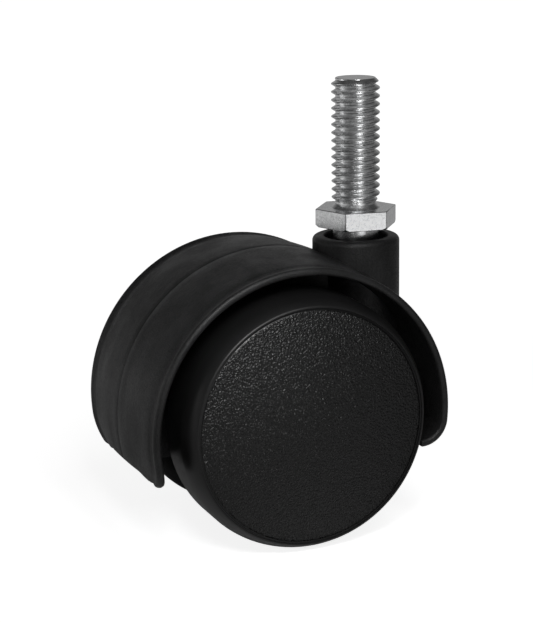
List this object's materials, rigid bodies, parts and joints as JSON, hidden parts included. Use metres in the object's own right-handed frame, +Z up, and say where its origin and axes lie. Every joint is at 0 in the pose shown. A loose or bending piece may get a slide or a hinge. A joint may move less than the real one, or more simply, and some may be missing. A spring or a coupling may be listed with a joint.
{
  "type": "threaded stem castor",
  "caption": "Hooded twin-wheel swivel castor of black nylon with a zinc-plated threaded stem and hex collar that screw into a furniture leg or base",
  "frame": {"origin": "centre of the hex collar's top face, on the swivel axis", "axes": "+Z runs up the threaded stem, the axle runs along Y, and the wheels trail towards -X"},
  "size_m": [0.0621, 0.0448, 0.0867],
  "materials": {
    "hood_nylon": "fine matte",
    "wheel_nylon": "satin",
    "face_nylon": "spark-eroded grain",
    "zinc_steel": "bright zinc plating",
    "spring_steel": "plain"
  },
  "bodies": {
    "stem": {"threaded_stem": "zinc_steel", "stem_grip_ring": "spring_steel"},
    "housing": {"hood_body": "hood_nylon", "axle": "spring_steel", "push_nut_left": "spring_steel", "push_nut_right": "spring_steel"},
    "wheel_left": {"wheel_left": "wheel_nylon", "wheel_cover_left": "face_nylon"},
    "wheel_right": {"wheel_right": "wheel_nylon", "wheel_cover_right": "face_nylon"}
  },
  "joints": [
    {"name": "swivel", "type": "hinge", "parent": "stem", "child": "housing", "pos_m": [0, 0, -0.0175], "axis": [0, 0, 1], "continuous": true},
    {"name": "wheel_left_roll", "type": "hinge", "parent": "housing", "child": "wheel_left", "pos_m": [-0.0195, 0.01625, -0.03645], "axis": [0, 1, 0], "continuous": true},
    {"name": "wheel_right_roll", "type": "hinge", "parent": "housing", "child": "wheel_right", "pos_m": [-0.0195, -0.01625, -0.03645], "axis": [0, 1, 0], "continuous": true}
  ]
}
